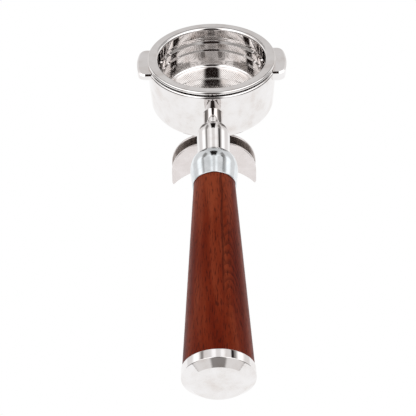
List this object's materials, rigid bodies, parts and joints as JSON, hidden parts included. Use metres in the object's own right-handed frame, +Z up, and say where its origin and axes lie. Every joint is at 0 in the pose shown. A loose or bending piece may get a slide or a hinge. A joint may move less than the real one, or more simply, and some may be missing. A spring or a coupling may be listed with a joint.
{
  "type": "espresso portafilter",
  "caption": "Espresso machine portafilter: polished cup with bayonet lugs, lift-out filter basket, open-channel double spout and a turned wooden handle with a metal collar and end cap.",
  "frame": {"origin": "centre of the basket rim's sealing face, where the group's gasket presses", "axes": "+Z up along the basket's axis, -Y along the handle, +X and -X through the two lugs"},
  "size_m": [0.0816, 0.239, 0.0836],
  "materials": {
    "chromed_brass": "mirror-polished chrome plate on forged brass",
    "stainless_sheet": "polished deep-drawn stainless sheet",
    "spring_wire": "bright drawn spring wire",
    "ptfe": "plain white sealing plastic",
    "chromed_fitting": "polished chrome plate",
    "polished_spout": "polished outside, darker cast surface in the channel",
    "steel_rod": "zinc-plated steel",
    "chromed_trim": "turned and polished chrome plate",
    "polished_aluminium": "turned, finely polished, slightly bluish",
    "brass_bush": "turned brass",
    "rosewood": "oiled red-brown hardwood with lengthwise grain"
  },
  "bodies": {
    "holder": {"body": "chromed_brass", "basket_spring": "spring_wire", "outlet_gasket": "ptfe", "spout_nipple": "chromed_fitting", "handle_rod": "steel_rod", "collar_washer": "chromed_trim", "collar": "polished_aluminium", "front_bush": "brass_bush", "grip": "rosewood", "rear_washer": "steel_rod", "rear_nut": "steel_rod", "end_cap": "chromed_trim"},
    "filter_basket": {"basket": "stainless_sheet"},
    "spout_carrier": {"spout_gasket": "ptfe"},
    "double_spout": {"spout": "polished_spout"}
  },
  "joints": [
    {"name": "basket_lift", "type": "slide", "parent": "holder", "child": "filter_basket", "axis": [0, 0, 1], "range_m": [0, 0.032], "deforming": ["basket_spring"]},
    {"name": "spout_drop", "type": "slide", "parent": "holder", "child": "spout_carrier", "axis": [0, 0, -1], "range_m": [0, 0.00535]},
    {"name": "spout_turn", "type": "hinge", "parent": "spout_carrier", "child": "double_spout", "pos_m": [0, 0, -0.06], "axis": [0, 0, -1], "range_deg": [0, 1440]}
  ],
  "couplings": [
    {"joint": "spout_drop", "follows": "spout_turn", "m_per_rad": 0.00021279}
  ]
}
